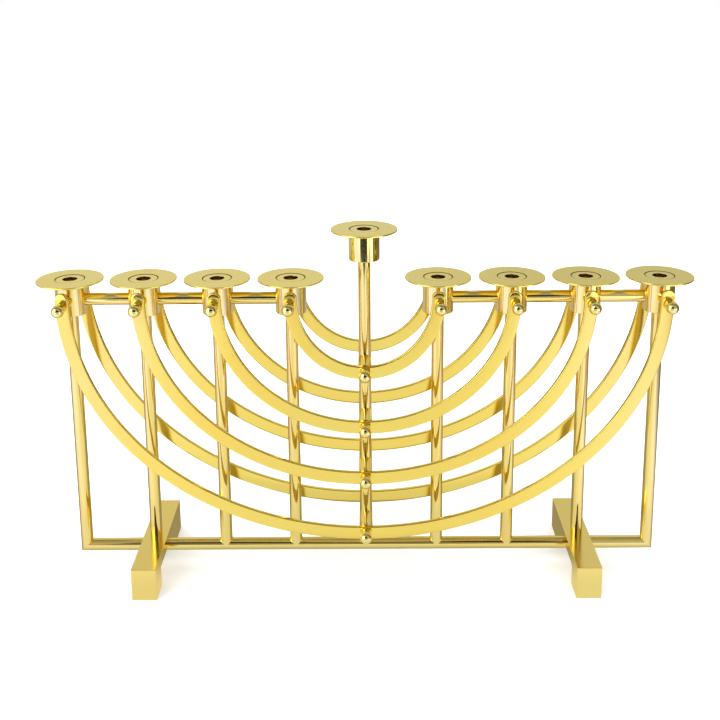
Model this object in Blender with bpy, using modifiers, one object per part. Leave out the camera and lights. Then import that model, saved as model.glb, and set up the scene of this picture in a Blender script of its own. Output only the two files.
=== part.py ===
"""Nine-light brass menorah: a rod frame carries nine turned cups with loose drip pans, and four pairs of
half-elliptical flat bars are bolted in front of it and behind it. Metres, +Z up, the feet stand on Z = 0,
the frame lies in the plane Y = 0 and the front is -Y."""

import math

import bmesh
import bpy
from mathutils import Matrix, Vector

# Driving dimensions, in metres.
CUP_SPACING = 0.071  # between the axes of neighbouring cups
SIDE_CUPS = 4  # on each side of the middle one
SIDE_TOP = 0.302  # top face of the eight side pans
SHAMASH_TOP = 0.350  # top face of the middle pan

ROD_RADIUS = 0.006
BOTTOM_RAIL_HEIGHT = 0.020  # axis of the bottom rail
TOP_RAIL_DROP = 0.0205  # axis of the top rails below the side pans' top

CUP_RADIUS = 0.015
SPIGOT_RADIUS = 0.0137
SIDE_CUP_LENGTH = 0.0343
SHAMASH_CUP_LENGTH = 0.030
CANDLE_RADIUS = 0.007
CANDLE_DEPTH = 0.012
SIDE_SOCKET_CEILING = 0.0245  # below a side pan's top, inside the cross hole of the top rail
POST_SOCKET_CEILING = 0.018  # below the middle pan's top

PAN_RADIUS = 0.032
PAN_THICKNESS = 0.0016

BAR_WIDTH = 0.0125
BAR_THICKNESS = 0.0045
BAR_PLANE = 0.035  # middle of a bar's thickness, from the frame's plane
ARC_CENTRE_DROP = 0.010  # centre of the half-ellipses below the side pans' top
ARC_INSET = 0.0015  # how far a bar's end lies inside its cup's axis
ARC_DEPTHS = (0.0735, 0.129, 0.1815, 0.2395)  # centre line, innermost pair first

BOLT_DROP = 0.018  # axis of the bolts at the cups below the side pans' top
BALL_RADIUS = 0.006
BALL_STANDOFF = 0.008  # from a bar's face to the middle of the ball
NECK_RADIUS = 0.0035
THREAD_RADIUS = 0.0025
THREAD_GRIP = 0.0132  # length of thread behind a bar at a cup
BOLT_TIP = 0.003  # how far a centre bolt comes out behind the rear bar
CUP_BOSS_RADIUS = 0.0055
CUP_BOSS_ROOT = 0.012  # where a cup's boss starts inside its wall, from the cup's axis
POST_BOSS_RADIUS = 0.0065

FOOT_AT_CUP = 3  # each foot stands under this upright, counted from the middle
FOOT_WIDTH = 0.024
FOOT_LENGTH = 0.132
FOOT_HEIGHT = 0.032
PAD_LENGTH = 0.024
NOTCH_HEIGHT = 0.020

GAP = 0.0003  # between pieces that touch
CLEARANCE = GAP  # round a rod or a bolt in its hole

ROD_SIDES = 16
TURNED_SIDES = 24
BOLT_SIDES = 10
BOSS_SIDES = 12
ARC_STEPS = 26
END_STEPS = 6
BALL_STEPS = 5

SHARP_ANGLE = math.radians(35)  # edges steeper than this are drawn sharp

BRASS, BRASS_ROUGHNESS = (0.86, 0.60, 0.19, 1.0), 0.16
PAN_BRASS, PAN_ROUGHNESS = (0.74, 0.60, 0.28, 1.0), 0.24


def clear_scene():
    for obj in list(bpy.data.objects):
        bpy.data.objects.remove(obj, do_unlink=True)


def new_collection(name, helper=False):
    collection = bpy.data.collections.new(name)
    bpy.context.scene.collection.children.link(collection)
    collection.hide_render = helper
    return collection


def metal(name, colour, roughness):
    made = bpy.data.materials.new(name)
    made.use_nodes = True
    shader = made.node_tree.nodes["Principled BSDF"]
    shader.inputs["Base Color"].default_value = colour
    shader.inputs["Metallic"].default_value = 1.0
    shader.inputs["Roughness"].default_value = roughness
    return made


class Workshop:
    """Where finished pieces go, and where the cutters are kept."""

    def __init__(self):
        self.pieces = new_collection("menorah")
        self.cutters = new_collection("cutters", helper=True)
        self.brass = metal("polished_brass", BRASS, BRASS_ROUGHNESS)
        self.pan_brass = metal("spun_brass", PAN_BRASS, PAN_ROUGHNESS)
        self.root = bpy.data.objects.new("menorah_frame", None)
        self.pieces.objects.link(self.root)

    def piece(self, obj, material=None):
        self.pieces.objects.link(obj)
        obj.parent = self.root
        obj.data.materials.append(material or self.brass)
        return obj

    def cutter(self, obj):
        self.cutters.objects.link(obj)
        obj.hide_render = True
        obj.display_type = "WIRE"
        return obj


def shade(mesh):
    mesh.shade_smooth()
    mesh.set_sharp_from_angle(angle=SHARP_ANGLE)


def rod(name, radius, start, end, sides=ROD_SIDES):
    """A cylinder from one point to another, its flats square to the axes."""
    start, end = Vector(start), Vector(end)
    turn = (end - start).to_track_quat("Z", "Y").to_matrix().to_4x4()
    shape = bmesh.new()
    bmesh.ops.create_cone(
        shape,
        cap_ends=True,
        segments=sides,
        radius1=radius,
        radius2=radius,
        depth=(end - start).length,
        matrix=Matrix.Translation((start + end) / 2) @ turn,
    )
    mesh = bpy.data.meshes.new(name)
    shape.to_mesh(mesh)
    shape.free()
    shade(mesh)
    return bpy.data.objects.new(name, mesh)


def block(name, low, high):
    low, high = Vector(low), Vector(high)
    size = high - low
    shape = bmesh.new()
    place = Matrix.Translation((low + high) / 2) @ Matrix.Diagonal(size).to_4x4()
    bmesh.ops.create_cube(shape, size=1.0, matrix=place)
    mesh = bpy.data.meshes.new(name)
    shape.to_mesh(mesh)
    shape.free()
    return bpy.data.objects.new(name, mesh)


def turned(name, profile, closed=False, sides=TURNED_SIDES):
    """A profile of (radius, height) points, turned round Z with a Screw modifier."""
    mesh = bpy.data.meshes.new(name)
    points = [(radius, 0.0, height) for radius, height in profile]
    edges = [(i, i + 1) for i in range(len(points) - 1)]
    if closed:
        edges.append((len(points) - 1, 0))
    mesh.from_pydata(points, edges, [])
    obj = bpy.data.objects.new(name, mesh)
    screw = obj.modifiers.new("turn", "SCREW")
    screw.steps = sides
    screw.render_steps = sides
    screw.use_merge_vertices = True
    screw.merge_threshold = 0.00001
    return obj


def cut(obj, cutter, operation="DIFFERENCE"):
    boolean = obj.modifiers.new(operation.lower(), "BOOLEAN")
    boolean.operation = operation
    boolean.object = cutter


def cup_x(number):
    """X of cup 1 to 8, counted from the left; there is none in the middle."""
    step = number - 1 - SIDE_CUPS
    return CUP_SPACING * (step if step < 0 else step + 1)


def cup_profile(length, socket_ceiling):
    """Half section of a cup, its heights counted from the pan's top face."""
    shoulder = -PAN_THICKNESS - GAP
    socket = ROD_RADIUS + CLEARANCE
    return (
        (0.0, -CANDLE_DEPTH),
        (CANDLE_RADIUS, -CANDLE_DEPTH),
        (CANDLE_RADIUS, -GAP),
        (SPIGOT_RADIUS, -GAP),
        (SPIGOT_RADIUS, shoulder),
        (CUP_RADIUS, shoulder),
        (CUP_RADIUS, -length),
        (socket, -length),
        (socket, -socket_ceiling),
        (0.0, -socket_ceiling),
    )


def add_side_cup(shop, number):
    x = cup_x(number)
    name = f"cup_{number}"
    cup = shop.piece(turned(name, cup_profile(SIDE_CUP_LENGTH, SIDE_SOCKET_CEILING)))
    cup.location = (x, 0.0, SIDE_TOP)
    height = SIDE_TOP - BOLT_DROP
    reach = BAR_PLANE - BAR_THICKNESS / 2 - GAP
    for side, sign in (("front", -1), ("rear", 1)):
        start = (x, sign * CUP_BOSS_ROOT, height)
        face = (x, sign * reach, height)
        boss = rod(f"{name}_{side}_boss", CUP_BOSS_RADIUS, start, face, BOSS_SIDES)
        cut(cup, shop.cutter(boss), "UNION")
        tip = (x, sign * (reach - THREAD_GRIP - GAP), height)
        mouth = (x, sign * (reach + GAP), height)
        hole = rod(f"{name}_{side}_thread", THREAD_RADIUS + CLEARANCE, tip, mouth, BOLT_SIDES)
        cut(cup, shop.cutter(hole))
    cut(cup, shop.cutter(rail_bore(number)))


def rail_bore(number):
    """The cross hole of a cup: blind in the end cups of a top rail, right through in the two between."""
    x = cup_x(number)
    height = SIDE_TOP - TOP_RAIL_DROP
    blind_side = {1: -1, SIDE_CUPS: 1, SIDE_CUPS + 1: -1, 2 * SIDE_CUPS: 1}.get(number)
    left = x - (GAP if blind_side == -1 else 2 * CUP_RADIUS)
    right = x + (GAP if blind_side == 1 else 2 * CUP_RADIUS)
    radius = ROD_RADIUS + CLEARANCE
    return rod(f"cup_{number}_cross_hole", radius, (left, 0.0, height), (right, 0.0, height))


def add_pan(shop, name, x, top):
    bore = SPIGOT_RADIUS + GAP
    profile = (
        (bore, 0.0),
        (PAN_RADIUS, 0.0),
        (PAN_RADIUS, -PAN_THICKNESS),
        (bore, -PAN_THICKNESS),
    )
    pan = shop.piece(turned(name, profile, closed=True), shop.pan_brass)
    pan.location = (x, 0.0, top)


def add_cups_and_pans(shop):
    for number in range(1, 2 * SIDE_CUPS + 1):
        add_side_cup(shop, number)
        add_pan(shop, f"pan_{number}", cup_x(number), SIDE_TOP)
    cup = shop.piece(turned("shamash_cup", cup_profile(SHAMASH_CUP_LENGTH, POST_SOCKET_CEILING)))
    cup.location = (0.0, 0.0, SHAMASH_TOP)
    add_pan(shop, "shamash_pan", 0.0, SHAMASH_TOP)


def mitre(obj, corner, into, along):
    """Slopes the end of a rod at a corner at 45 degrees: the coordinate along the rod follows the other one."""
    across = 2 - along
    for vertex in obj.data.vertices:
        if abs(vertex.co[along] - corner[along]) < ROD_RADIUS:
            vertex.co[along] = corner[along] + into * (vertex.co[across] - corner[across])


def add_frame(shop):
    """The bottom rail with its mitred ends, the uprights, the middle post and the two top rails."""
    end = SIDE_CUPS * CUP_SPACING
    low = BOTTOM_RAIL_HEIGHT
    upright_top = SIDE_TOP - TOP_RAIL_DROP - ROD_RADIUS - GAP
    rail = shop.piece(rod("bottom_rail", ROD_RADIUS, (GAP - end, 0.0, low), (end - GAP, 0.0, low)))
    mitre(rail, (GAP - end, 0.0, low), 1, 0)
    mitre(rail, (end - GAP, 0.0, low), -1, 0)
    saddle = shop.cutter(rod("saddle", ROD_RADIUS + CLEARANCE, (-end, 0.0, low), (end, 0.0, low)))
    for number in range(1, 2 * SIDE_CUPS + 1):
        x = cup_x(number)
        upright = shop.piece(rod(f"upright_{number}", ROD_RADIUS, (x, 0.0, low), (x, 0.0, upright_top)))
        if number in (1, 2 * SIDE_CUPS):
            mitre(upright, (x, 0.0, low), math.copysign(1, -x), 2)
        else:
            cut(upright, saddle)
    height = SIDE_TOP - TOP_RAIL_DROP
    for name, first in (("left_top_rail", 1), ("right_top_rail", SIDE_CUPS + 1)):
        start = (cup_x(first), 0.0, height)
        finish = (cup_x(first + SIDE_CUPS - 1), 0.0, height)
        shop.piece(rod(name, ROD_RADIUS, start, finish))
    add_post(shop, saddle)


def arc_bottom(pair):
    """Height of the lowest point of a pair's centre line."""
    return SIDE_TOP - ARC_CENTRE_DROP - ARC_DEPTHS[pair]


def add_post(shop, saddle):
    """The middle post, with a boss through it for each pair of bars."""
    top = SHAMASH_TOP - POST_SOCKET_CEILING - GAP
    post = shop.piece(rod("centre_post", ROD_RADIUS, (0.0, 0.0, BOTTOM_RAIL_HEIGHT), (0.0, 0.0, top)))
    cut(post, saddle)
    reach = BAR_PLANE - BAR_THICKNESS / 2 - GAP
    for pair in range(SIDE_CUPS):
        height = arc_bottom(pair)
        front, rear = (0.0, -reach, height), (0.0, reach, height)
        boss = rod(f"post_boss_{pair + 1}", POST_BOSS_RADIUS, front, rear, BOSS_SIDES)
        cut(post, shop.cutter(boss), "UNION")
        mouth, end = (0.0, -2 * reach, height), (0.0, 2 * reach, height)
        hole = rod(f"post_hole_{pair + 1}", THREAD_RADIUS + CLEARANCE, mouth, end, BOLT_SIDES)
        cut(post, shop.cutter(hole))


def ring_points(centre, radius, start, sweep, steps):
    """Points on a circle in the bar's own plane, the first left out."""
    found = []
    for step in range(1, steps + 1):
        angle = start + sweep * step / steps
        found.append((centre[0] + radius * math.cos(angle), centre[1] + radius * math.sin(angle)))
    return found


def arc_outline(half_width, depth):
    """The band BAR_WIDTH wide about a lower half-ellipse, with a round end at each side."""
    outer, inner = [], []
    for step in range(ARC_STEPS + 1):
        angle = math.pi * step / ARC_STEPS
        x, z = half_width * math.cos(angle), -depth * math.sin(angle)
        normal = Vector((math.cos(angle) / half_width, -math.sin(angle) / depth)).normalized()
        outer.append((x + normal.x * BAR_WIDTH / 2, z + normal.y * BAR_WIDTH / 2))
        inner.append((x - normal.x * BAR_WIDTH / 2, z - normal.y * BAR_WIDTH / 2))
    left_end = ring_points((-half_width, 0.0), BAR_WIDTH / 2, math.pi, -math.pi, END_STEPS)
    right_end = ring_points((half_width, 0.0), BAR_WIDTH / 2, math.pi, -math.pi, END_STEPS)
    return outer + left_end + inner[-2:0:-1] + [inner[0]] + right_end[:-1]


def flat_bar(name, outlines):
    """A flat curve of closed outlines, the first the bar's edge and the others its holes."""
    curve = bpy.data.curves.new(name, "CURVE")
    curve.dimensions = "2D"
    curve.fill_mode = "BOTH"
    curve.extrude = BAR_THICKNESS / 2
    for outline in outlines:
        spline = curve.splines.new("POLY")
        spline.points.add(len(outline) - 1)
        for point, (x, z) in zip(spline.points, outline):
            point.co = (x, z, 0.0, 1.0)
        spline.use_cyclic_u = True
    obj = bpy.data.objects.new(name, curve)
    obj.rotation_euler = (math.pi / 2, 0.0, 0.0)
    return obj


def add_arcs(shop):
    hole = THREAD_RADIUS + CLEARANCE
    for pair, depth in enumerate(ARC_DEPTHS):
        cup = (pair + 1) * CUP_SPACING
        hole_centres = (
            (-cup, ARC_CENTRE_DROP - BOLT_DROP),
            (cup, ARC_CENTRE_DROP - BOLT_DROP),
            (0.0, -depth),
        )
        outlines = [arc_outline(cup - ARC_INSET, depth)]
        outlines += [ring_points(centre, hole, 0.0, math.tau, BOLT_SIDES) for centre in hole_centres]
        for side, sign in (("front", -1), ("rear", 1)):
            arc = shop.piece(flat_bar(f"{side}_arc_{pair + 1}", outlines))
            arc.location = (0.0, sign * BAR_PLANE, SIDE_TOP - ARC_CENTRE_DROP)


def bolt_profile(thread_length):
    """Half section of a ball-headed bolt on its own axis: the ball is at the top, the bar's face at height 0."""
    middle = BALL_STANDOFF
    neck_angle = math.asin(NECK_RADIUS / BALL_RADIUS)
    points = [(0.0, middle + BALL_RADIUS)]
    for step in range(1, BALL_STEPS + 1):
        angle = (math.pi - neck_angle) * step / BALL_STEPS
        points.append((BALL_RADIUS * math.sin(angle), middle + BALL_RADIUS * math.cos(angle)))
    points += [(NECK_RADIUS, GAP), (THREAD_RADIUS, GAP)]
    points += [(THREAD_RADIUS, -thread_length), (0.0, -thread_length)]
    return points


def add_bolt(shop, name, x, height, sign, thread_length):
    bolt = shop.piece(turned(name, bolt_profile(thread_length), sides=BOLT_SIDES))
    bolt.location = (x, sign * (BAR_PLANE + BAR_THICKNESS / 2), height)
    bolt.rotation_euler = (-sign * math.pi / 2, 0.0, 0.0)


def add_bolts(shop):
    at_cup = BAR_THICKNESS + THREAD_GRIP
    for number in range(1, 2 * SIDE_CUPS + 1):
        for side, sign in (("front", -1), ("rear", 1)):
            name = f"{side}_bolt_{number}"
            add_bolt(shop, name, cup_x(number), SIDE_TOP - BOLT_DROP, sign, at_cup)
    right_through = 2 * BAR_PLANE + BAR_THICKNESS + BOLT_TIP
    for pair in range(SIDE_CUPS):
        add_bolt(shop, f"centre_bolt_{pair + 1}", 0.0, arc_bottom(pair), -1, right_through)


def add_feet(shop):
    """A bar from front to back on two pads, seated over the bottom rail, with the upright through its top."""
    half_width, half_length = FOOT_WIDTH / 2, FOOT_LENGTH / 2
    for name, side in (("left_foot", -1), ("right_foot", 1)):
        x = side * FOOT_AT_CUP * CUP_SPACING
        low, high = (x - half_width, -half_length, 0.0), (x + half_width, half_length, FOOT_HEIGHT)
        foot = shop.piece(block(name, low, high))
        notch = half_length - PAD_LENGTH
        low = (x - FOOT_WIDTH, -notch, -FOOT_HEIGHT)
        high = (x + FOOT_WIDTH, notch, NOTCH_HEIGHT)
        cut(foot, shop.cutter(block(f"{name}_notch", low, high)))
        radius = ROD_RADIUS + CLEARANCE
        left = (x - FOOT_WIDTH, 0.0, BOTTOM_RAIL_HEIGHT)
        right = (x + FOOT_WIDTH, 0.0, BOTTOM_RAIL_HEIGHT)
        seat = rod(f"{name}_rail_seat", radius, left, right)
        cut(foot, shop.cutter(seat))
        hole = rod(f"{name}_hole", radius, (x, 0.0, BOTTOM_RAIL_HEIGHT), (x, 0.0, 2 * FOOT_HEIGHT))
        cut(foot, shop.cutter(hole))


def main():
    clear_scene()
    shop = Workshop()
    add_feet(shop)
    add_frame(shop)
    add_cups_and_pans(shop)
    add_arcs(shop)
    add_bolts(shop)


main()
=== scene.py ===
"""Finished look of the nine-light brass menorah: turned cups and pans, half-elliptical flat bars, ball-headed
bolts, polished rods with brazed joints and ground feet, on a pale floor in soft studio light."""

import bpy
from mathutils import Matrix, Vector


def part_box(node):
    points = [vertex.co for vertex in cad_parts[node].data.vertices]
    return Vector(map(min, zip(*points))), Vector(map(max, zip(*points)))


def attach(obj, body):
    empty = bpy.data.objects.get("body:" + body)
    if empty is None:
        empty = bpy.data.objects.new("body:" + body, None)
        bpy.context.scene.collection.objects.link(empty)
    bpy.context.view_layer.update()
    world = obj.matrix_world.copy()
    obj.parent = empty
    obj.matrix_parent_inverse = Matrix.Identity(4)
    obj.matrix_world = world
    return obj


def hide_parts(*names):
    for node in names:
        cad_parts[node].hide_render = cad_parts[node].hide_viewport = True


bl_info = {
    "name": "Nine-light menorah",
    "version": (1, 0, 0),
    "blender": (4, 5, 0),
    "location": "View3D > Sidebar > Menorah",
    "description": "Builds the finished pieces of a brass menorah round its solid model",
    "category": "Add Mesh",
}

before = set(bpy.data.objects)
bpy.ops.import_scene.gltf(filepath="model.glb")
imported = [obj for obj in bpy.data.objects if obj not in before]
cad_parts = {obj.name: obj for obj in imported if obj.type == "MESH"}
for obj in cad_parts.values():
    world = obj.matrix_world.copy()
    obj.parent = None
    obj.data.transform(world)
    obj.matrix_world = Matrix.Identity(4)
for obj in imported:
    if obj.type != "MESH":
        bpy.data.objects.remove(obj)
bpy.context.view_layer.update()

import math

import bmesh
import bpy
from bpy.props import FloatProperty, FloatVectorProperty, IntProperty, PointerProperty
from mathutils import Matrix, Vector

STAND = "stand"
SIDE_CUPS = range(1, 9)
PAIRS = range(1, 5)
SIDES = ("front", "rear")
FEET = ("left_foot", "right_foot")

# Lengths that follow from how the menorah is made
BAR_INSET = 0.0015  # how much nearer the middle than its cup the smallest bar runs
TIP_RADIUS = 0.0025  # of the long bolts' ends behind the rear bars
TIP_SUNK = 0.001  # how far a tip starts inside its bar
FOOT_PAD = 0.024  # length of each end of a foot that touches the floor
FOOT_NOTCH = 0.020  # height of the gap between them
FILLET_EDGE = 0.0001  # the brazed fillet's size where the two rods' sides meet
BOSS_START = 0.7  # where a cup's boss starts, as a share of the cup's radius
BAR_MARKS = ("around", "share", "rise")  # attributes of a bar's grid
UV_ALONG, UV_ROUND = 100.0, 6.0  # a turned piece's UV map, per metre of its profile and per turn

EDGE_TINT = (0.96, 0.84, 0.55, 1.0)  # polished brass stays golden where it is seen edge on
PLAIN = (1.0, 1.0, 1.0, 1.0)
BLACK = (0.02, 0.02, 0.02, 1.0)

# The light tent that the metal reflects. Each panel: azimuth and half width, lowest and highest elevation and
# softness in degrees, and light
ROOM_LIGHT = 0.16
TENT = (
    (180.0, 62.0, 5.0, 75.0, 8.0, 0.79),  # rear wall, lit from the left
    (150.0, 26.0, 5.0, 75.0, 9.0, 0.60),
    (180.0, 62.0, 27.0, 80.0, 7.0, 0.68),
    (0.0, 181.0, 62.0, 100.0, 8.0, 0.27),  # ceiling
    (0.0, 60.0, 50.0, 70.0, 6.0, 0.4),
    (-95.0, 13.0, -30.0, 45.0, 4.0, 0.95),  # white wall on the left
    (-5.0, 71.0, -30.0, 0.0, 3.0, 2.3),  # softboxes across the front, low down
    (-5.0, 71.0, 0.0, 48.0, 3.0, 0.5),
    (-53.0, 23.0, 5.0, 50.0, 3.0, 2.6),  # softbox high on the left
)
# Two black cards in front, which draw the dark lines down polished metal: their left edge, right edge and Y,
# then the lower and upper edge of each
FLAG_SPAN = (-0.47, 0.38, -0.84)
FLAGS = (("low_flag", 0.05, 0.22), ("high_flag", 0.36, 1.0))
# The paper on the floor as the metal sees it: its left, right, front and rear edge, and the factors of its
# light. Each factor: the axis that it changes along, where the change starts and ends, and what it goes from
# and to
PAPER_EDGES = (-1.3, 0.85, -1.02, 1.3)
PAPER_LIGHT = (
    ("across", 0.04, 0.42, 0.91, 1.11),  # darker in the middle than at both sides
    ("x", 0.42, 0.75, 1.0, 0.42),  # dark far out on the right
    ("y", -0.14, -0.08, 1.0, 0.87),
    ("y", -0.04, 0.02, 1.0, 0.42),  # painted shade under and behind the object
    ("y", 0.15, 0.45, 1.0, 1.45),
)
PAPER_BLUE = (0.2, 0.42, 1.0, 1.5)  # cooler at both sides

ROOM_REACH = 14.0  # radius of the floor, and height of the wall at its edge
DAYLIGHT = 4.0
DAYLIGHT_SPREAD = 150.0  # degrees
CAMERA_PLACE = (0.0018, -0.9479, 0.5935)
CAMERA_TURN = (0.0055, 0.2042, -0.0079)  # yaw, pitch and roll in radians
CAMERA_LENS, CAMERA_SENSOR, CAMERA_SHIFT = 51.27, 36.0, -0.25


# ---- Sizes and colours that a user would change ----


def length(name, text, value):
    return FloatProperty(name=name, description=text, default=value, min=0.0, unit="LENGTH", precision=5)


def colour(name, text, value):
    return FloatVectorProperty(
        name=name, description=text, default=value, size=4, min=0.0, max=1.0, subtype="COLOR"
    )


def count(name, text, value, least):
    return IntProperty(name=name, description=text, default=value, min=least)


class MenorahSizes(bpy.types.PropertyGroup):
    spigot: length("Spigot radius", "Radius of a cup's spigot, which locates its pan", 0.0135)
    candle: length("Candle hole radius", "Radius of the hole that takes the candle", 0.007)
    candle_depth: length("Candle hole depth", "Depth of the hole that takes the candle", 0.012)
    pan_play: length("Pan play", "Gap round the spigot inside the pan", 0.0008)
    boss: length("Boss radius", "Radius of the stub between a cup and its bar", 0.0055)
    neck: length("Neck radius", "Radius of a bolt's neck, between the ball and the bar", 0.0033)
    braze: length("Braze fillet", "Reach of the brazed fillet where an upright meets the bottom rail", 0.0017)
    edge: length("Bar edge", "Rounding of the bars' edges", 0.0008)
    crown: length("Bar crown", "Height of a bar's faces in the middle over their edges", 0.00012)
    foot_edge: length("Foot edge", "Rounding of the feet's edges", 0.0004)
    lip: length("Turned edge", "Rounding of the cups' and pans' edges", 0.0004)
    turned_sides: count("Turned sides", "Facets round a turned piece", 96, 24)
    bar_points: count("Bar points", "Points round a bar's outline", 400, 80)


class MenorahColours(bpy.types.PropertyGroup):
    rod: colour("Rod", "Polished rods", (0.95, 0.785, 0.265, 1.0))
    bar: colour("Bar", "Flat bars", (0.95, 0.765, 0.18, 1.0))
    cup: colour("Cup", "Turned cups and bosses", (0.95, 0.81, 0.31, 1.0))
    ball: colour("Ball", "Bolts' balls", (0.95, 0.81, 0.31, 1.0))
    pan: colour("Pan", "Drip pans", (0.94, 0.785, 0.18, 1.0))
    foot: colour("Foot", "Ground feet", (0.93, 0.77, 0.26, 1.0))
    # Painted shade: this dark colour goes on the faces in the gap between a cup and its pan, to darken it as
    # shade would
    joint: colour("Joint", "Dull brass in the joint between a cup and its pan", (0.16, 0.12, 0.03, 1.0))
    floor: colour("Floor", "Studio floor", (0.93, 0.93, 0.93, 1.0))


def sizes():
    return bpy.context.scene.menorah_sizes


def colours():
    return bpy.context.scene.menorah_colours


# ---- Finishes ----


class Finish:
    """A node material, built step by step."""

    def __init__(self, name, base, roughness, edge=EDGE_TINT):
        self.material = bpy.data.materials.new(name)
        self.material.use_nodes = True
        self.tree = self.material.node_tree
        self.shader = self.tree.nodes["Principled BSDF"]
        self.shader.inputs["Metallic"].default_value = 1.0
        self.shader.inputs["Roughness"].default_value = roughness
        self.shader.inputs["Base Color"].default_value = base
        self.shader.inputs["Specular Tint"].default_value = edge
        self.base = base
        self.roughness = roughness

    def node(self, kind, **inputs):
        made = self.tree.nodes.new(kind)
        for key, value in inputs.items():
            made.inputs[key.replace("_", " ")].default_value = value
        return made

    def link(self, source, target):
        self.tree.links.new(source, target)

    def noise(self, scale, stretch=(1.0, 1.0, 1.0), detail=3.0, space="Object"):
        """Noise over the piece, drawn out along an axis by a small stretch value there."""
        place = self.node("ShaderNodeTexCoord")
        mapping = self.node("ShaderNodeMapping")
        mapping.inputs["Scale"].default_value = stretch
        noise = self.node("ShaderNodeTexNoise", Scale=scale, Detail=detail)
        self.link(place.outputs[space], mapping.inputs["Vector"])
        self.link(mapping.outputs["Vector"], noise.inputs["Vector"])
        return noise.outputs["Fac"]

    def spread(self, source, low, high):
        """A value from low to high as the source goes from 0.3 to 0.7."""
        spread = self.node("ShaderNodeMapRange")
        spread.inputs["From Min"].default_value = 0.3
        spread.inputs["From Max"].default_value = 0.7
        spread.inputs["To Min"].default_value = low
        spread.inputs["To Max"].default_value = high
        self.link(source, spread.inputs["Value"])
        return spread.outputs["Result"]

    def vary_roughness(self, source, amount):
        low = max(self.roughness - amount, 0.01)
        self.link(self.spread(source, low, self.roughness + amount), self.shader.inputs["Roughness"])

    def vary_colour(self, source, warmer):
        mix = self.node("ShaderNodeMix")
        mix.data_type = "RGBA"
        mix.inputs["A"].default_value = self.base
        mix.inputs["B"].default_value = warmer
        self.link(self.spread(source, 0.0, 1.0), mix.inputs["Factor"])
        self.link(mix.outputs["Result"], self.shader.inputs["Base Color"])

    def relief(self, source, strength, distance):
        bump = self.node("ShaderNodeBump", Strength=strength, Distance=distance)
        self.link(source, bump.inputs["Height"])
        self.link(bump.outputs["Normal"], self.shader.inputs["Normal"])


def warmer(base, shift=0.05):
    """A colour that is redder and less blue, by steps that follow from its shift in green."""
    red, green, blue = base[:3]
    return (min(red * (1.0 + shift * 0.4), 1.0), green * (1.0 - shift), blue * (1.0 - 3.0 * shift), 1.0)


def rod_finish():
    finish = Finish("polished_rod", tuple(colours().rod), 0.085)
    finish.vary_roughness(finish.noise(60.0, detail=4.0), 0.03)
    finish.vary_colour(finish.noise(9.0), warmer(finish.base))
    finish.relief(finish.noise(420.0, detail=2.0), 0.05, 0.00002)
    return finish.material


def bar_finish():
    finish = Finish("polished_flat_bar", tuple(colours().bar), 0.13)
    finish.vary_roughness(finish.noise(90.0, (1.0, 1.0, 0.4), 4.0), 0.035)
    finish.vary_colour(finish.noise(7.0), warmer(finish.base, 0.07))
    finish.relief(finish.noise(160.0, (1.0, 0.2, 1.0), 3.0), 0.10, 0.00004)
    return finish.material


def turned_finish(name, base, roughness, ring_scale, strength, edge=EDGE_TINT):
    """Turning marks: the piece's UV map runs across the marks in U and round the piece in V."""
    finish = Finish(name, base, roughness, edge)
    rings = finish.noise(1.0, (ring_scale, 0.6, 1.0), 3.0, "UV")
    finish.vary_roughness(rings, roughness * 0.35)
    finish.vary_colour(finish.noise(14.0), warmer(base, 0.05))
    finish.relief(rings, strength, 0.00003)
    return finish.material


def cup_finish():
    return turned_finish("turned_cup", tuple(colours().cup), 0.10, 260.0, 0.06)


def pan_finish():
    return turned_finish("spun_pan", tuple(colours().pan), 0.24, 180.0, 0.12, PLAIN)


# Painted shade in the gap between a cup and its pan, as a dark brass material
def painted_joint_shade_finish():
    finish = Finish("dull_joint", tuple(colours().joint), 0.5)
    finish.vary_roughness(finish.noise(300.0), 0.1)
    finish.vary_colour(finish.noise(90.0), warmer(finish.base, 0.1))
    return finish.material


def ball_finish():
    finish = Finish("polished_ball", tuple(colours().ball), 0.045)
    finish.vary_roughness(finish.noise(120.0), 0.02)
    finish.vary_colour(finish.noise(20.0), warmer(finish.base, 0.03))
    return finish.material


def foot_finish():
    finish = Finish("ground_foot", tuple(colours().foot), 0.17)
    finish.vary_roughness(finish.noise(220.0, (1.0, 0.08, 1.0), 4.0), 0.05)
    finish.vary_colour(finish.noise(10.0), warmer(finish.base, 0.06))
    finish.relief(finish.noise(420.0, (1.0, 0.05, 1.0), 3.0), 0.10, 0.00003)
    return finish.material


# ---- Mesh tools ----


def new_object(name, data):
    made = bpy.data.objects.new(name, data)
    bpy.context.scene.collection.objects.link(made)
    return made


def new_mesh(name, shape, material=None):
    """Turns a finished bmesh into a mesh."""
    mesh = bpy.data.meshes.new(name)
    shape.to_mesh(mesh)
    shape.free()
    if material:
        mesh.materials.append(material)
    return mesh


def smooth(mesh, angle=40.0):
    mesh.shade_smooth()
    mesh.set_sharp_from_angle(angle=math.radians(angle))


def even_shading(piece):
    """Lets the flat faces decide the normals of the small roundings next to them."""
    weighted = piece.modifiers.new("even shading", "WEIGHTED_NORMAL")
    weighted.keep_sharp = True
    weighted.weight = 60


def ease_edges(piece, width):
    """Gives a piece a Bevel on its sharp edges."""
    bevel = piece.modifiers.new("eased edges", "BEVEL")
    bevel.width = width
    bevel.segments = 3
    bevel.limit_method = "ANGLE"
    bevel.angle_limit = math.radians(50)


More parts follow.
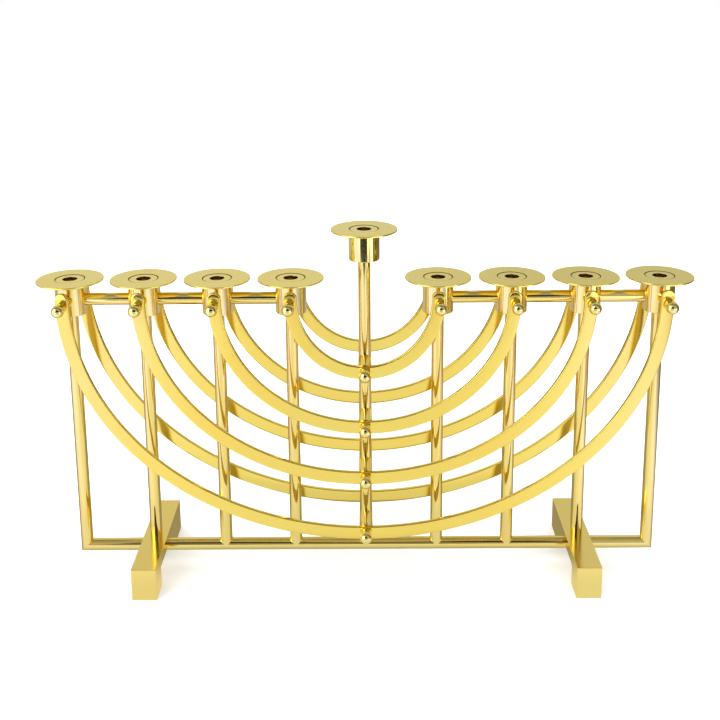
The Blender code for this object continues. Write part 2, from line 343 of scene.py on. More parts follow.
def turned_mesh(name, profile, sides, satin_above=None, joint=None):
    """Turns a closed or axis-to-axis profile of (radius, height) points round Z, with a UV map.

    Level faces above the height satin_above are marked "satin". Upright faces between the two radii in joint
    are marked for painted shade: they take a dark material that darkens the gap inside a joint."""
    shape = bmesh.new()
    marks = shape.loops.layers.uv.new("turning")
    rings = []
    for radius, height in profile:
        if radius < 1e-7:
            rings.append([shape.verts.new((0.0, 0.0, height))])
            continue
        ring = []
        for step in range(sides):
            angle = math.tau * step / sides
            ring.append(shape.verts.new((radius * math.cos(angle), radius * math.sin(angle), height)))
        rings.append(ring)
    travelled = [0.0]
    for before, after in zip(profile, profile[1:]):
        travelled.append(travelled[-1] + math.dist(before, after))
    for index, (upper, lower) in enumerate(zip(rings, rings[1:])):
        for step in range(sides):
            following = (step + 1) % sides
            corners = (
                (upper, step, index, 0),
                (lower, step, index + 1, 0),
                (lower, following, index + 1, 1),
                (upper, following, index, 1),
            )
            kept, places = [], []
            for ring, at, row, turn in corners:
                vertex = ring[at % len(ring)]
                if vertex not in kept:
                    kept.append(vertex)
                    places.append((travelled[row] * UV_ALONG, (step + turn) / sides * UV_ROUND))
            face = shape.faces.new(kept)
            for loop, place in zip(face.loops, places):
                loop[marks].uv = place
    bmesh.ops.recalc_face_normals(shape, faces=shape.faces)
    mesh = new_mesh(name, shape)
    if satin_above is not None:
        satin = mesh.attributes.new("satin", "BOOLEAN", "FACE")
        for face in mesh.polygons:
            satin.data[face.index].value = face.center.z > satin_above and face.normal.z > 0.9
    # Painted shade: upright faces in the gap of a joint are marked to take the dark joint material
    if joint is not None:
        dull = mesh.attributes.new("dull", "BOOLEAN", "FACE")
        for face in mesh.polygons:
            near = joint[0] < face.center.xy.length < joint[1]
            dull.data[face.index].value = near and abs(face.normal.z) < 0.8
    smooth(mesh)
    return mesh


def eased(corner, before, after, radius, steps=4):
    """Points that round a corner of a profile off with a curve that starts and ends radius away from it."""
    corner, before, after = Vector(corner), Vector(before), Vector(after)
    start = corner + (before - corner).normalized() * radius
    finish = corner + (after - corner).normalized() * radius
    found = []
    for step in range(steps + 1):
        t = step / steps
        found.append(tuple(start * (1 - t) ** 2 + corner * 2 * t * (1 - t) + finish * t * t))
    return found


def eased_profile(points, radii):
    """A profile whose corner number i is rounded by radii[i], if that is given and not zero."""
    found = []
    for index, point in enumerate(points):
        radius = radii.get(index, 0.0)
        if radius:
            found += eased(point, points[index - 1], points[(index + 1) % len(points)], radius)
        else:
            found.append(tuple(point))
    return found


# ---- Geometry Nodes tools ----


class Tree:
    """A Geometry Nodes tree with named inputs."""

    def __init__(self, name, **inputs):
        self.group = bpy.data.node_groups.new(name, "GeometryNodeTree")
        self.group.interface.new_socket("Geometry", in_out="OUTPUT", socket_type="NodeSocketGeometry")
        self.group.interface.new_socket("Geometry", in_out="INPUT", socket_type="NodeSocketGeometry")
        for label, kind in inputs.items():
            self.group.interface.new_socket(
                label.replace("_", " "), in_out="INPUT", socket_type=f"NodeSocket{kind}"
            )
        self.inputs = self.group.nodes.new("NodeGroupInput").outputs
        self.output = self.group.nodes.new("NodeGroupOutput")

    def node(self, kind, values=None, **settings):
        made = self.group.nodes.new(kind)
        for key, value in settings.items():
            setattr(made, key, value)
        for key, value in (values or {}).items():
            self.feed(value, made.inputs[key])
        return made

    def feed(self, value, socket):
        if isinstance(value, bpy.types.NodeSocket):
            self.group.links.new(value, socket)
        else:
            socket.default_value = value

    def sum(self, operation, first, second=0.0, clamp=False):
        made = self.group.nodes.new("ShaderNodeMath")
        made.operation = operation
        made.use_clamp = clamp
        self.feed(first, made.inputs[0])
        self.feed(second, made.inputs[1])
        return made.outputs[0]

    def attribute(self, name, data_type="FLOAT"):
        made = self.node("GeometryNodeInputNamedAttribute", {"Name": name}, data_type=data_type)
        return made.outputs["Attribute"]

    def finish(self, geometry, material, **marked):
        """Ends the tree with plain geometry in a material, and marked faces in their mark's material."""
        made = self.node("GeometryNodeRealizeInstances", {"Geometry": geometry})
        values = {"Geometry": made.outputs[0], "Material": material}
        made = self.node("GeometryNodeSetMaterial", values)
        for mark, other in marked.items():
            chosen = self.attribute(mark, "BOOLEAN")
            values = {"Geometry": made.outputs[0], "Selection": chosen, "Material": other}
            made = self.node("GeometryNodeSetMaterial", values)
        self.group.links.new(made.outputs[0], self.output.inputs[0])


def grow(name, tree, mesh=None, **values):
    """Runs a tree on an object, with the given inputs, and returns the result as a plain object."""
    grower = new_object(f"{name}_grower", mesh or bpy.data.meshes.new(f"{name}_grower"))
    modifier = grower.modifiers.new("grow", "NODES")
    modifier.node_group = tree.group
    for item in tree.group.interface.items_tree:
        key = item.name.replace(" ", "_")
        if item.in_out == "INPUT" and key in values:
            modifier[item.identifier] = values[key]
    graph = bpy.context.evaluated_depsgraph_get()
    made = bpy.data.meshes.new_from_object(grower.evaluated_get(graph), depsgraph=graph)
    made.name = name
    bpy.data.objects.remove(grower)
    return new_object(name, made)


def outward(piece):
    """Merges a piece's doubles and turns its faces outwards."""
    shape = bmesh.new()
    shape.from_mesh(piece.data)
    bmesh.ops.remove_doubles(shape, verts=shape.verts, dist=1e-7)
    bmesh.ops.recalc_face_normals(shape, faces=shape.faces)
    shape.to_mesh(piece.data)
    shape.free()
    smooth(piece.data)
    return piece


def copies_tree():
    """Copies a pattern object onto every point, turned by the point's angles, and paints its marked faces."""
    tree = Tree(
        "Copies on points",
        Pattern="Object",
        Material="Material",
        Satin_Material="Material",
        Joint_Material="Material",
    )
    pattern = tree.node("GeometryNodeObjectInfo", {"Object": tree.inputs["Pattern"]})
    placed = tree.node(
        "GeometryNodeInstanceOnPoints",
        {
            "Points": tree.inputs["Geometry"],
            "Instance": pattern.outputs["Geometry"],
            "Rotation": tree.attribute("turn", "FLOAT_VECTOR"),
        },
    )
    # Faces marked for painted shade take the joint material, which darkens the gap inside a joint
    tree.finish(
        placed.outputs["Instances"],
        tree.inputs["Material"],
        satin=tree.inputs["Satin Material"],
        dull=tree.inputs["Joint Material"],
    )
    return tree


def copies(name, pattern_mesh, places, material, turns=None, satin=None, joint=None):
    """One object that holds a copy of a pattern at each place."""
    pattern = new_object(f"{name}_pattern", pattern_mesh)
    points = bpy.data.meshes.new(f"{name}_points")
    points.from_pydata([tuple(place) for place in places], [], [])
    angles = points.attributes.new("turn", "FLOAT_VECTOR", "POINT")
    for index in range(len(places)):
        angles.data[index].vector = turns[index] if turns else (0.0, 0.0, 0.0)
    made = grow(
        name,
        copies_tree(),
        points,
        Pattern=pattern,
        Material=material,
        Satin_Material=satin or material,
        Joint_Material=joint or material,
    )
    bpy.data.objects.remove(pattern)
    smooth(made.data)
    return made


def rod_tree():
    tree = Tree("Rod", Start="Vector", End="Vector", Radius="Float", Sides="Int", Material="Material")
    take = tree.inputs
    path = tree.node("GeometryNodeCurvePrimitiveLine", {"Start": take["Start"], "End": take["End"]})
    values = {"Radius": take["Radius"], "Resolution": take["Sides"]}
    section = tree.node("GeometryNodeCurvePrimitiveCircle", values)
    values = {"Curve": path.outputs[0], "Profile Curve": section.outputs[0], "Fill Caps": True}
    tube = tree.node("GeometryNodeCurveToMesh", values)
    tree.finish(tube.outputs[0], take["Material"])
    return tree


def bar_section(half, thickness, edge, crown, steps=4):
    """Half the outline of a bar's section, from the middle of its back to the middle of its front.

    Each point is (share, rise): its distance from the middle line over half the width, and its height above
    the back."""
    face = [(share, crown * share**2) for share in (0.0, 0.25, 0.5, 0.75)]
    corner = []
    for step in range(steps + 1):
        angle = math.pi / 2 * step / steps
        out = half - edge + edge * math.sin(angle)
        corner.append((out / half, crown + edge * (1.0 - math.cos(angle))))
    back = face + corner
    return back + [(share, thickness - rise) for share, rise in reversed(back)]


def bar_grid(points, section):
    """Rings of points, one for each point of the section, that a bar's tree lays along its half-ellipse."""
    mesh = bpy.data.meshes.new("bar_grid")
    rows = len(section)
    faces = []
    for row in range(rows - 1):
        for point in range(points):
            after = (point + 1) % points
            here, above = row * points, (row + 1) * points
            faces.append((here + point, here + after, above + after, above + point))
    mesh.from_pydata([(0.0, 0.0, 0.0)] * (rows * points), [], faces)
    marks = [(point / points, *place) for place in section for point in range(points)]
    for name, values in zip(BAR_MARKS, zip(*marks)):
        mesh.attributes.new(name, "FLOAT", "POINT").data.foreach_set("value", values)
    return mesh


def bar_tree():
    """A flat bar in the XZ plane about a lower half-ellipse. Each ring of its grid goes round that line."""
    tree = Tree(
        "Half-elliptical flat bar",
        Half_Width="Float",
        Depth="Float",
        Bar_Width="Float",
        Back="Float",
        Height="Float",
        Material="Material",
    )
    side, end = 0.45, 0.05  # shares of a ring's points on each long side and round each end
    ask, take = tree.sum, tree.inputs
    along = tree.attribute("around")

    def stretch(start, share):
        return ask("DIVIDE", ask("SUBTRACT", along, start), share, clamp=True)

    angle = ask("MULTIPLY", ask("SUBTRACT", stretch(0.0, side), stretch(side + end, side)), math.pi)
    first_end = ask("MULTIPLY", stretch(side, end), math.pi)
    second_end = ask("MULTIPLY", stretch(2 * side + end, end), math.pi)
    across = ask("COSINE", ask("ADD", first_end, second_end))
    beyond = ask("ABSOLUTE", ask("ADD", ask("SINE", first_end), ask("SINE", second_end)))
    cosine, sine = ask("COSINE", angle), ask("SINE", angle)
    normal_x = ask("DIVIDE", cosine, take["Half Width"])
    normal_z = ask("DIVIDE", sine, take["Depth"])
    size = ask("SQRT", ask("ADD", ask("MULTIPLY", normal_x, normal_x), ask("MULTIPLY", normal_z, normal_z)))
    half_bar = ask("MULTIPLY", ask("MULTIPLY", take["Bar Width"], 0.5), tree.attribute("share"))
    shift = ask("DIVIDE", ask("MULTIPLY", across, half_bar), size)
    x = ask("ADD", ask("MULTIPLY", cosine, take["Half Width"]), ask("MULTIPLY", normal_x, shift))
    drop = ask("ADD", ask("MULTIPLY", sine, take["Depth"]), ask("MULTIPLY", normal_z, shift))
    z = ask("ADD", ask("SUBTRACT", take["Height"], drop), ask("MULTIPLY", beyond, half_bar))
    y = ask("SUBTRACT", take["Back"], tree.attribute("rise"))
    place = tree.node("ShaderNodeCombineXYZ", {"X": x, "Y": y, "Z": z}).outputs[0]
    placed = tree.node("GeometryNodeSetPosition", {"Geometry": take["Geometry"], "Position": place})
    merged = tree.node("GeometryNodeMergeByDistance", {"Geometry": placed.outputs[0], "Distance": 1e-6})
    tree.finish(merged.outputs[0], take["Material"])
    return tree


# ---- Pieces ----


def settle(piece, body, slot, *nodes):
    """Makes a piece ride on a body and hides the solids that it stands for, if any. Its slot is not used."""
    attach(piece, body)
    if nodes:
        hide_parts(*nodes)


def middle(node):
    low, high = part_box(node)
    return (low + high) / 2


def rod_radius():
    low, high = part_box("left_top_rail")
    return (high.z - low.z) / 2


def mitre(piece, corner, slope, along):
    """Slopes the end of a rod near a corner at 45 degrees."""
    across = 2 - along
    for vertex in piece.data.vertices:
        if abs(vertex.co[along] - corner[along]) < rod_radius():
            vertex.co[along] = corner[along] + slope * (vertex.co[across] - corner[across])


class MENORAH_OT_rods(bpy.types.Operator):
    """Build the rails, the uprights and the middle post"""

    bl_idname = "menorah.rods"
    bl_label = "Rods"

    def rod(self, name, start, end):
        piece = grow(
            name,
            rod_tree(),
            Start=start,
            End=end,
            Radius=rod_radius(),
            Sides=sizes().turned_sides // 2,
            Material=self.finish,
        )
        return outward(piece)

    def execute(self, context):
        self.finish = rod_finish()
        height = middle("bottom_rail").z
        left, right = middle("upright_1").x, middle("upright_8").x
        rail = self.rod("polished_bottom_rail", (left, 0.0, height), (right, 0.0, height))
        mitre(rail, (left, 0.0, height), 1.0, 0)
        mitre(rail, (right, 0.0, height), -1.0, 0)
        settle(rail, STAND, "polished_brass", "bottom_rail")
        for number in SIDE_CUPS:
            node = f"upright_{number}"
            x, top = middle(node).x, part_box(node)[1].z
            upright = self.rod(f"polished_{node}", (x, 0.0, height), (x, 0.0, top))
            if number in (1, 8):
                mitre(upright, (x, 0.0, height), math.copysign(1.0, -x), 2)
            settle(upright, STAND, "polished_brass", node)
        for node in ("left_top_rail", "right_top_rail"):
            low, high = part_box(node)
            z = (low.z + high.z) / 2
            rail = self.rod(f"polished_{node}", (low.x, 0.0, z), (high.x, 0.0, z))
            settle(rail, STAND, "polished_brass", node)
        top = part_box("centre_post")[1].z
        post = self.rod("polished_post", (0.0, 0.0, height), (0.0, 0.0, top))
        settle(post, STAND, "polished_brass", "centre_post")
        self.bosses()
        return {"FINISHED"}

    def bosses(self):
        """The four stubs through the post, which carry the bars."""
        low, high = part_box("centre_post")
        reach, boss = high.y, (high.x - low.x) / 2
        lip = sizes().lip
        corners = ((0.0, reach), (boss, reach), (boss, -reach), (0.0, -reach))
        profile = eased_profile(corners, {1: lip, 2: lip})
        pattern = turned_mesh("post_boss", profile, sizes().turned_sides // 2)
        places = [(0.0, 0.0, middle(f"centre_bolt_{pair}").z) for pair in PAIRS]
        turns = [(math.pi / 2, 0.0, 0.0)] * len(places)
        piece = copies("post_bosses", pattern, places, self.finish, turns)
        settle(piece, STAND, "turned_brass")


class MENORAH_OT_cups(bpy.types.Operator):
    """Build the nine turned cups with their bosses"""

    bl_idname = "menorah.cups"
    bl_label = "Cups"

    def profile(self, node):
        """Half section of a cup, its heights counted from its top."""
        low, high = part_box(node)
        outer, drop = (high.x - low.x) / 2, high.z - low.z
        pan_low, pan_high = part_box("pan_1")
        shoulder = pan_high.z - pan_low.z
        take = sizes()
        points = (
            (0.0, -take.candle_depth),
            (take.candle, -take.candle_depth),
            (take.candle, 0.0),
            (take.spigot, 0.0),
            (take.spigot, -shoulder),
            (outer, -shoulder),
            (outer, -drop),
            (0.0, -drop),
        )
        lip = take.lip
        return eased_profile(points, {1: lip, 2: lip / 2, 3: lip, 5: lip, 6: lip * 2})

    def execute(self, context):
        finish, satin, joint = cup_finish(), pan_finish(), painted_joint_shade_finish()
        take = sizes()
        rim = (take.spigot - take.lip, take.spigot + take.lip)
        for node in [f"cup_{number}" for number in SIDE_CUPS] + ["shamash_cup"]:
            low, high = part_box(node)
            place = ((low.x + high.x) / 2, 0.0, high.z)
            mesh = turned_mesh(node, self.profile(node), take.turned_sides, -take.lip, rim)
            piece = copies(f"turned_{node}", mesh, [place], finish, satin=satin, joint=joint)
            even_shading(piece)
            settle(piece, STAND, "turned_brass", node)
        self.bosses(finish)
        return {"FINISHED"}

    def bosses(self, finish):
        """The stubs in front of and behind each side cup, which start inside the cup."""
        low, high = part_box("cup_1")
        take = sizes()
        start = (high.x - low.x) / 2 * BOSS_START
        corners = ((0.0, high.y), (take.boss, high.y), (take.boss, start), (0.0, start))
        profile = eased_profile(corners, {1: take.lip})
        pattern = turned_mesh("cup_boss", profile, take.turned_sides // 2)
        places, turns = [], []
        for number in SIDE_CUPS:
            bolt = middle(f"front_bolt_{number}")
            for sign in (1, -1):
                places.append((bolt.x, 0.0, bolt.z))
                turns.append((sign * math.pi / 2, 0.0, 0.0))
        piece = copies("cup_bosses", pattern, places, finish, turns)
        settle(piece, STAND, "turned_brass")


class MENORAH_OT_pans(bpy.types.Operator):
    """Build the nine loose drip pans"""

    bl_idname = "menorah.pans"
    bl_label = "Drip pans"

    def execute(self, context):
        finish, joint = pan_finish(), painted_joint_shade_finish()
        take = sizes()
        for node in [f"pan_{number}" for number in SIDE_CUPS] + ["shamash_pan"]:
            low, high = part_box(node)
            outer, thick = (high.x - low.x) / 2, high.z - low.z
            inner = take.spigot + take.pan_play
            corners = ((inner, 0.0), (outer, 0.0), (outer, -thick), (inner, -thick))
            profile = eased_profile(corners, {0: take.lip, 1: take.lip, 2: take.lip, 3: take.lip / 2})
            profile.append(profile[0])
            mesh = turned_mesh(node, profile, take.turned_sides, joint=(inner - take.lip, inner + take.lip))
            piece = copies(f"spun_{node}", mesh, [((low.x + high.x) / 2, 0.0, high.z)], finish, joint=joint)
            outward(piece)
            even_shading(piece)
            settle(piece, node, "pan_brass", node)
        return {"FINISHED"}


class MENORAH_OT_bars(bpy.types.Operator):
    """Build the eight half-elliptical flat bars"""

    bl_idname = "menorah.bars"
    bl_label = "Flat bars"

    def execute(self, context):
        finish = bar_finish()
        tree = bar_tree()
        for side in SIDES:
            for pair in PAIRS:
                node = f"{side}_arc_{pair}"
                low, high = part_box(node)
                width = self.bar_width(side)
                half = (high.x - low.x - width) / 2
                section = bar_section(width / 2, high.y - low.y, sizes().edge, sizes().crown)
                piece = grow(
                    f"flat_bar_{side}_{pair}",
                    tree,
                    bar_grid(sizes().bar_points, section),
                    Half_Width=half,
                    Depth=high.z - low.z - width,
                    Bar_Width=width,
                    Back=high.y,
                    Height=high.z - width / 2,
                    Material=finish,
                )
                outward(piece)
                for name in BAR_MARKS:
                    piece.data.attributes.remove(piece.data.attributes[name])
                settle(piece, STAND, "flat_bar_brass", node)
        return {"FINISHED"}

    def bar_width(self, side):
        """The smallest bar gives it, as its centre line ends at its cup's distance less the inset."""
        low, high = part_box(f"{side}_arc_1")
        spacing = middle("cup_6").x - middle("cup_5").x
        return (high.x - low.x) - 2 * (spacing - BAR_INSET)


class MENORAH_OT_bolts(bpy.types.Operator):
    """Build the ball-headed bolts and the tips of the long ones"""

    bl_idname = "menorah.bolts"
    bl_label = "Bolts"

    def ball_profile(self):
        """Half section of a ball and its neck, the bar's face at height 0."""
        low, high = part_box("front_bolt_1")
        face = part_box("front_arc_1")[0].y
        radius = (high.x - low.x) / 2
        centre = face - low.y - radius
        neck = sizes().neck
        crease_width, crease_depth = 1.15, 0.97  # a fine crease parts the ball from its neck
        lowest = math.pi - math.asin(neck / radius) * crease_width
        steps = 28
        points = [(0.0, centre + radius)]
        for step in range(1, steps + 1):
            angle = lowest * step / steps
            points.append((radius * math.sin(angle), centre + radius * math.cos(angle)))
        flare = sizes().lip
        points += [(neck, centre - radius * crease_depth), (neck, flare * 2)]
        points += [(neck + flare * 0.3, flare), (neck + flare, 0.0), (0.0, 0.0)]
        return points, face

    def execute(self, context):
        finish = ball_finish()
        profile, face = self.ball_profile()
        pattern = turned_mesh("ball_bolt", profile, sizes().turned_sides // 2)
        for side, sign in (("front", 1), ("rear", -1)):
            nodes = [f"{side}_bolt_{number}" for number in SIDE_CUPS]
            if side == "front":
                nodes += [f"centre_bolt_{pair}" for pair in PAIRS]
            places = [(middle(node).x, sign * face, middle(node).z) for node in nodes]
            turns = [(sign * math.pi / 2, 0.0, 0.0)] * len(nodes)
            piece = copies(f"{side}_ball_bolts", pattern.copy(), places, finish, turns)
            settle(piece, STAND, "ball_brass", *nodes)
        self.tips(finish)
        return {"FINISHED"}

    def tips(self, finish):
        """The domed ends of the long bolts, behind the rear bars."""
        face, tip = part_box("rear_arc_1")[1].y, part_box("centre_bolt_1")[1].y
        radius, rise, steps = TIP_RADIUS, TIP_RADIUS * 0.5, 8
        points = [(0.0, tip)]
        for step in range(1, steps + 1):
            angle = math.pi / 2 * step / steps
            points.append((radius * math.sin(angle), tip - rise * (1 - math.cos(angle))))
        points += [(radius, face - TIP_SUNK), (0.0, face - TIP_SUNK)]
        pattern = turned_mesh("bolt_tip", points, sizes().turned_sides // 3)
        places = [(0.0, 0.0, middle(f"centre_bolt_{pair}").z) for pair in PAIRS]
        turns = [(-math.pi / 2, 0.0, 0.0)] * len(places)
        piece = copies("long_bolt_tips", pattern, places, finish, turns)
        settle(piece, STAND, "ball_brass")


class MENORAH_OT_feet(bpy.types.Operator):
    """Build the two ground feet"""

    bl_idname = "menorah.feet"
    bl_label = "Feet"

    def execute(self, context):
        finish = foot_finish()
        for node in FEET:
            low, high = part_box(node)
            inner = high.y - FOOT_PAD
            outline = (
                (low.y, high.z),
                (high.y, high.z),
                (high.y, 0.0),
                (inner, 0.0),
                (inner, FOOT_NOTCH),
                (-inner, FOOT_NOTCH),
                (-inner, 0.0),
                (low.y, 0.0),
            )
            shape = bmesh.new()
            corners = [shape.verts.new((low.x, y, z)) for y, z in outline]
            face = shape.faces.new(corners)
            moved = bmesh.ops.extrude_face_region(shape, geom=[face])["geom"]
            far = [item for item in moved if isinstance(item, bmesh.types.BMVert)]
            bmesh.ops.translate(shape, verts=far, vec=(high.x - low.x, 0.0, 0.0))
            bmesh.ops.recalc_face_normals(shape, faces=shape.faces)
            mesh = new_mesh(f"ground_{node}", shape, finish)
            piece = new_object(f"ground_{node}", mesh)
            ease_edges(piece, sizes().foot_edge)
            mesh.shade_smooth()
            even_shading(piece)
            settle(piece, STAND, "foot_brass", node)
        return {"FINISHED"}


class MENORAH_OT_braze(bpy.types.Operator):
    """Build the brazed fillets at the feet of the uprights"""

    bl_idname = "menorah.braze"
    bl_label = "Brazed joints"

    def execute(self, context):
        finish = rod_finish()
        xs = [middle(f"upright_{number}").x for number in SIDE_CUPS if number not in (1, 8)] + [0.0]
        height = middle("bottom_rail").z
        piece = copies("brazed_fillets", self.fillet(), [(x, 0.0, height) for x in xs], finish)
        outward(piece)
        settle(piece, STAND, "polished_brass")
        return {"FINISHED"}

    def fillet(self):
        """A hollow-faced ring that follows the saddle where one rod stands on another of the same size."""
        radius, reach = rod_radius(), sizes().braze
        around, steps = 96, 6
        sunk = 1.0 - FILLET_EDGE / radius * 4.0  # the ring's hidden inner edge lies inside both rods
        shape = bmesh.new()
        loops = []
        for turn in range(around):
            angle = math.tau * turn / around
            lean = abs(math.cos(angle))
            side = 1.0 if math.cos(angle) >= 0.0 else -1.0
            x, y, z = radius * math.cos(angle), radius * math.sin(angle), radius * lean
            size = reach * lean**1.5 + FILLET_EDGE
            upper = Vector((x, y, z + size))
            corner = Vector((x, y, z))
            outer = Vector((x + side * size, y, z))
            loop = [shape.verts.new(corner * sunk)]
            for step in range(steps + 1):
                t = step / steps
                point = upper * (1 - t) ** 2 + corner * 2 * t * (1 - t) + outer * t * t
                loop.append(shape.verts.new(point))
            loops.append(loop)
        for loop, following in zip(loops, loops[1:] + loops[:1]):
            for index in range(len(loop)):
                after = (index + 1) % len(loop)
                shape.faces.new((loop[index], loop[after], following[after], following[index]))
        return new_mesh("fillet", shape)


# ---- Stage ----


def matte(name, base, roughness):
    """A plain material without shine."""
    material = bpy.data.materials.new(name)
    material.use_nodes = True
    shader = material.node_tree.nodes["Principled BSDF"]
    shader.inputs["Base Color"].default_value = base
    shader.inputs["Roughness"].default_value = roughness
    shader.inputs["Specular IOR Level"].default_value = 0.0
    return material


def glowing(name):
    """A material that gives light, and the node that makes it do so."""
    material = bpy.data.materials.new(name)
    material.use_nodes = True
    tree = material.node_tree
    glow = tree.nodes.new("ShaderNodeEmission")
    tree.links.new(glow.outputs[0], tree.nodes["Material Output"].inputs["Surface"])
    return material, glow


class Pattern:
    """Sums over one texture coordinate in a shader's node tree."""

    def __init__(self, tree, space):
        self.tree = tree
        place = tree.nodes.new("ShaderNodeTexCoord")
        parts = tree.nodes.new("ShaderNodeSeparateXYZ")
        tree.links.new(place.outputs[space], parts.inputs[0])
        self.x, self.y, self.z = parts.outputs

    def maths(self, operation, *values):
        node = self.tree.nodes.new("ShaderNodeMath")
        node.operation = operation
        for socket, value in zip(node.inputs, values):
            if isinstance(value, bpy.types.NodeSocket):
                self.tree.links.new(value, socket)
            else:
                socket.default_value = value
        return node.outputs[0]

    def slope(self, value, *ends):
        """Goes smoothly from the third end to the fourth as the value goes from the first to the second."""
        node = self.tree.nodes.new("ShaderNodeMapRange")
        node.interpolation_type = "SMOOTHSTEP"
        for key, number in zip(("From Min", "From Max", "To Min", "To Max"), ends):
            node.inputs[key].default_value = number
        self.tree.links.new(value, node.inputs["Value"])
        return node.outputs["Result"]

    def fade(self, value, edge, soft, rising):
        """0 and 1 on the two sides of an edge, in degrees."""
        low, high = (0.0, 1.0) if rising else (1.0, 0.0)
        return self.slope(value, math.radians(edge - soft), math.radians(edge + soft), low, high)


def lit_paper():
    """The paper round the object as the metal sees it: a glowing card, with painted shade under and behind
    the object.
    """
    material, glow = glowing("lit_paper")
    tree = material.node_tree
    pattern = Pattern(tree, "Object")
    across = pattern.maths("ABSOLUTE", pattern.x)
    axes = {"across": across, "x": pattern.x, "y": pattern.y}
    light = 1.0
    for axis, *ends in PAPER_LIGHT:
        light = pattern.maths("MULTIPLY", light, pattern.slope(axes[axis], *ends))
    cooler = tree.nodes.new("ShaderNodeCombineColor")
    cooler.inputs["Red"].default_value = 1.0
    cooler.inputs["Green"].default_value = 1.0
    tree.links.new(pattern.slope(across, *PAPER_BLUE), cooler.inputs["Blue"])
    tree.links.new(cooler.outputs["Color"], glow.inputs["Color"])
    tree.links.new(light, glow.inputs["Strength"])
    return material


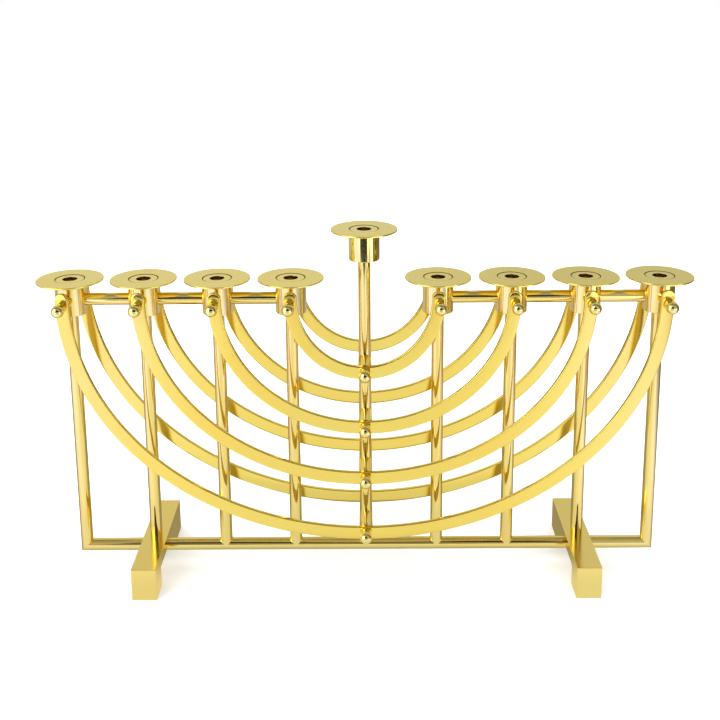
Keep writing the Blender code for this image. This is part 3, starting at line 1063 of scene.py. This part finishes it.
class MENORAH_OT_stage(bpy.types.Operator):
    """Set out the floor, the studio light and the camera"""

    bl_idname = "menorah.stage"
    bl_label = "Stage"

    def execute(self, context):
        self.floor()
        self.backdrop()
        self.sky()
        left, right, y = FLAG_SPAN
        for name, low, high in FLAGS:
            corners = ((left, y, low), (right, y, low), (right, y, high), (left, y, high))
            self.card(name, corners, matte("black_card", BLACK, 0.5))
        left, right, front, rear = PAPER_EDGES
        corners = ((left, front, 0.0), (right, front, 0.0), (right, rear, 0.0), (left, rear, 0.0))
        self.card("lit_paper", corners, lit_paper())
        self.daylight()
        self.camera()
        context.scene.view_settings.view_transform = "Standard"
        return {"FINISHED"}

    def unseen_in_metal(self, item):
        """The metal reflects the light tent's own pattern in place of this item."""
        item.visible_glossy = False

    def floor(self):
        floor = self.disc("studio_floor", 0.0, matte("pale_paper", tuple(colours().floor), 0.9))
        self.unseen_in_metal(floor)

    def backdrop(self):
        """A lit white wall all round, far from the object, so that the paper floor has no horizon."""
        wall = self.disc("studio_backdrop", ROOM_REACH, glowing("lit_backdrop")[0])
        self.unseen_in_metal(wall)
        wall.visible_diffuse = False
        wall.visible_shadow = False

    def disc(self, name, wall, material, sides=96):
        """A round floor or, where wall isn't zero, a wall of that height at its edge and a ceiling."""
        shape = bmesh.new()
        angles = [math.tau * step / sides for step in range(sides)]
        ring = [(ROOM_REACH * math.cos(angle), ROOM_REACH * math.sin(angle)) for angle in angles]
        low = [shape.verts.new((x, y, 0.0)) for x, y in ring]
        if wall:
            high = [shape.verts.new((x, y, wall)) for x, y in ring]
            for k in range(sides):
                after = (k + 1) % sides
                shape.faces.new((low[k], high[k], high[after], low[after]))
            shape.faces.new(high)
        else:
            shape.faces.new(low)
        made = new_object(name, new_mesh(name, shape, material))
        return made

    def sky(self):
        """The light tent that the metal reflects: a dark room with softboxes, white walls and a ceiling."""
        world = bpy.data.worlds.new("light_tent")
        bpy.context.scene.world = world
        world.use_nodes = True
        tree = world.node_tree
        pattern = Pattern(tree, "Generated")
        front = pattern.maths("MULTIPLY", pattern.y, -1.0)
        pattern.azimuth = pattern.maths("ARCTAN2", pattern.x, front)
        pattern.elevation = pattern.maths("ARCSINE", pattern.z)
        level = ROOM_LIGHT
        for panel in TENT:
            level = self.panel(pattern, level, *panel)
        tree.links.new(level, tree.nodes["Background"].inputs["Color"])

    def panel(self, pattern, level, azimuth, half_width, low, high, soft, light):
        """Lays a patch of light over the rest. Azimuth 0 is in front, and positive ones are on the right."""
        maths, fade = pattern.maths, pattern.fade
        turned = maths("SUBTRACT", pattern.azimuth, math.radians(azimuth))
        away = maths("ABSOLUTE", maths("WRAP", turned, math.pi, -math.pi))
        mask = fade(away, half_width, soft, False)
        mask = maths("MULTIPLY", mask, fade(pattern.elevation, low, soft, True))
        mask = maths("MULTIPLY", mask, fade(pattern.elevation, high, soft, False))
        if isinstance(level, float):
            return maths("ADD", maths("MULTIPLY", mask, light - level), level)
        return maths("MULTIPLY_ADD", mask, maths("SUBTRACT", light, level), level)

    def card(self, name, corners, material):
        """A card that only polished metal sees."""
        shape = bmesh.new()
        shape.faces.new([shape.verts.new(corner) for corner in corners])
        card = new_object(name, new_mesh(name, shape, material))
        card.visible_camera = False
        card.visible_diffuse = False
        card.visible_shadow = False

    def daylight(self):
        """Wide even light from above, which keeps the paper white and its shadows faint."""
        light = bpy.data.lights.new("overhead_light", "SUN")
        light.energy = DAYLIGHT
        light.angle = math.radians(DAYLIGHT_SPREAD)
        self.unseen_in_metal(new_object("overhead_light", light))

    def camera(self):
        data = bpy.data.cameras.new("studio_camera")
        camera = new_object("studio_camera", data)
        data.sensor_width = CAMERA_SENSOR
        data.lens = CAMERA_LENS
        data.shift_y = CAMERA_SHIFT
        camera.matrix_world = Matrix.Translation(CAMERA_PLACE) @ self.aim(*CAMERA_TURN)
        bpy.context.scene.camera = camera

    def aim(self, yaw, pitch, roll):
        """Looks along +Y, turned to the left by yaw, down by pitch and about the line of sight by roll."""
        return (
            Matrix.Rotation(yaw, 4, "Z")
            @ Matrix.Rotation(-pitch, 4, "X")
            @ Matrix.Rotation(-roll, 4, "Y")
            @ Matrix.Rotation(math.pi / 2, 4, "X")
        )


class VIEW3D_PT_menorah(bpy.types.Panel):
    """Lists the menorah's pieces, sizes and colours"""

    bl_label = "Nine-light menorah"
    bl_idname = "VIEW3D_PT_menorah"
    bl_space_type = "VIEW_3D"
    bl_region_type = "UI"
    bl_category = "Menorah"

    def draw(self, context):
        for operator in OPERATORS:
            self.layout.operator(operator.bl_idname)
        for group in (context.scene.menorah_sizes, context.scene.menorah_colours):
            box = self.layout.box()
            for key in group.__annotations__:
                box.prop(group, key)


OPERATORS = (
    MENORAH_OT_rods,
    MENORAH_OT_cups,
    MENORAH_OT_pans,
    MENORAH_OT_bars,
    MENORAH_OT_bolts,
    MENORAH_OT_feet,
    MENORAH_OT_braze,
    MENORAH_OT_stage,
)
GROUPS = (MenorahSizes, MenorahColours)


def register():
    for group in GROUPS + OPERATORS + (VIEW3D_PT_menorah,):
        bpy.utils.register_class(group)
    bpy.types.Scene.menorah_sizes = PointerProperty(type=MenorahSizes)
    bpy.types.Scene.menorah_colours = PointerProperty(type=MenorahColours)


def unregister():
    del bpy.types.Scene.menorah_colours
    del bpy.types.Scene.menorah_sizes
    for group in reversed(GROUPS + OPERATORS + (VIEW3D_PT_menorah,)):
        bpy.utils.unregister_class(group)


def main():
    register()
    bpy.ops.menorah.rods()
    bpy.ops.menorah.cups()
    bpy.ops.menorah.pans()
    bpy.ops.menorah.bars()
    bpy.ops.menorah.bolts()
    bpy.ops.menorah.feet()
    bpy.ops.menorah.braze()
    bpy.ops.menorah.stage()


if __name__ == "__main__":
    main()
